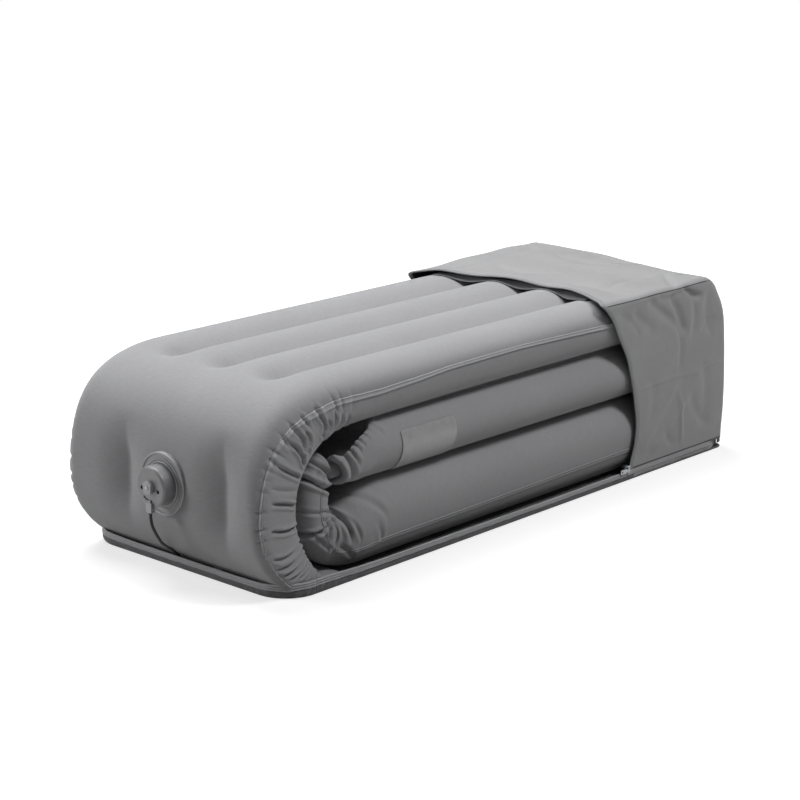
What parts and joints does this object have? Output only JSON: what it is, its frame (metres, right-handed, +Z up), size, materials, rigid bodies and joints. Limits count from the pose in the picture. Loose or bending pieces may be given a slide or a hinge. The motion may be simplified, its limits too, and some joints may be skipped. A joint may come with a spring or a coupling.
{
  "type": "inflatable sleeping pad",
  "caption": "Inflated sleeping pad folded into a bundle, with a twist valve, held in an open zip cover whose far end is still hooded.",
  "frame": {"origin": "middle of the underside of the cover's base, on the ground", "axes": "+Z up, +X from the valve end towards the hooded end, +Y across the bundle to the side away from the label"},
  "size_m": [0.9467, 0.3628, 0.2537],
  "materials": {
    "pad_fabric": "brushed laminated polyester, soft sheen",
    "label_film": "bare heat-transfer film, matt",
    "valve_pvc": "welded soft vinyl, satin",
    "valve_plastic": "moulded, fine satin",
    "valve_dark": "moulded, dark",
    "seal_rubber": "moulded silicone",
    "spring_steel": "bright",
    "cord_black": "braided sheath",
    "cover_fabric": "plain weave polyester",
    "cover_dark": "coated plain weave polyester",
    "cover_binding": "folded grosgrain binding",
    "cover_lining": "coated back of the cover cloth",
    "zip_tape": "knitted zip tape",
    "zip_coil": "nylon coil",
    "slider_metal": "nickel plated die casting"
  },
  "bodies": {
    "cover": {"cover_base": "cover_dark", "rim_near": "cover_dark", "rim_far": "cover_dark", "rim_hood_end": "cover_dark", "rim_valve_end": "cover_dark", "zip_tape_near": "zip_tape", "zip_tape_far": "zip_tape", "zip_tape_valve_end": "zip_tape", "zip_chain_near": "zip_coil", "zip_chain_far": "zip_coil", "zip_chain_hood_end": "zip_coil", "hood_top": "cover_fabric", "hood_near_panel": "cover_fabric", "hood_far_panel": "cover_fabric", "hood_end_panel": "cover_fabric", "hood_hem": "cover_binding", "hood_folded_lid": "cover_lining"},
    "pad": {"pad_top_run": "pad_fabric", "pad_outer_bend": "pad_fabric", "pad_tail": "pad_fabric", "pad_rear_bend": "pad_fabric", "pad_middle_run": "pad_fabric", "pad_inner_bend": "pad_fabric", "pad_lower_run": "pad_fabric", "label_patch": "label_film", "valve_flange": "valve_pvc", "valve_backing_ring": "valve_pvc", "valve_housing": "valve_plastic", "valve_seat": "valve_plastic", "flap_spring": "spring_steel", "tether_clip": "valve_plastic", "tether_cord": "cord_black", "tether_anchor": "cover_binding"},
    "cap": {"valve_cap": "valve_plastic", "cap_seal": "seal_rubber"},
    "knob": {"valve_knob": "valve_plastic", "knob_stem": "spring_steel", "valve_shutter": "valve_dark"},
    "flap": {"valve_flap": "seal_rubber", "flap_stem": "valve_dark"},
    "slider_near": {"slider_near": "slider_metal"},
    "pull_near": {"pull_near": "slider_metal"},
    "slider_far": {"slider_far": "slider_metal"},
    "pull_far": {"pull_far": "slider_metal"}
  },
  "joints": [
    {"name": "pad_out", "type": "slide", "parent": "cover", "child": "pad", "axis": [-1, 0, 0], "range_m": [0, 0.3], "deforming": ["rim_valve_end", "zip_tape_valve_end"]},
    {"name": "cap_turn", "type": "hinge", "parent": "pad", "child": "cap", "pos_m": [-0.479, -0.011, 0.1195], "axis": [-1, 0, 0], "range_deg": [0, 30]},
    {"name": "knob_turn", "type": "hinge", "parent": "cap", "child": "knob", "pos_m": [-0.479, -0.011, 0.1195], "axis": [-1, 0, 0], "range_deg": [0, 90]},
    {"name": "flap_lift", "type": "slide", "parent": "pad", "child": "flap", "axis": [1, 0, 0], "range_m": [0, 0.003], "stiffness_N_per_m": 40, "springref_m": -0.001, "deforming": ["flap_spring"]},
    {"name": "zip_run_near", "type": "slide", "parent": "cover", "child": "slider_near", "axis": [1, 0, 0], "range_m": [0, 0.207], "deforming": ["zip_chain_near"]},
    {"name": "pull_swing_near", "type": "hinge", "parent": "slider_near", "child": "pull_near", "pos_m": [0.205, -0.1798, 0.016], "axis": [0, 0, 1], "range_deg": [0, 170]},
    {"name": "zip_run_far", "type": "slide", "parent": "cover", "child": "slider_far", "axis": [1, 0, 0], "range_m": [0, 0.207], "deforming": ["zip_chain_far"]},
    {"name": "pull_swing_far", "type": "hinge", "parent": "slider_far", "child": "pull_far", "pos_m": [0.205, 0.1798, 0.016], "axis": [0, 0, -1], "range_deg": [0, 170]}
  ]
}
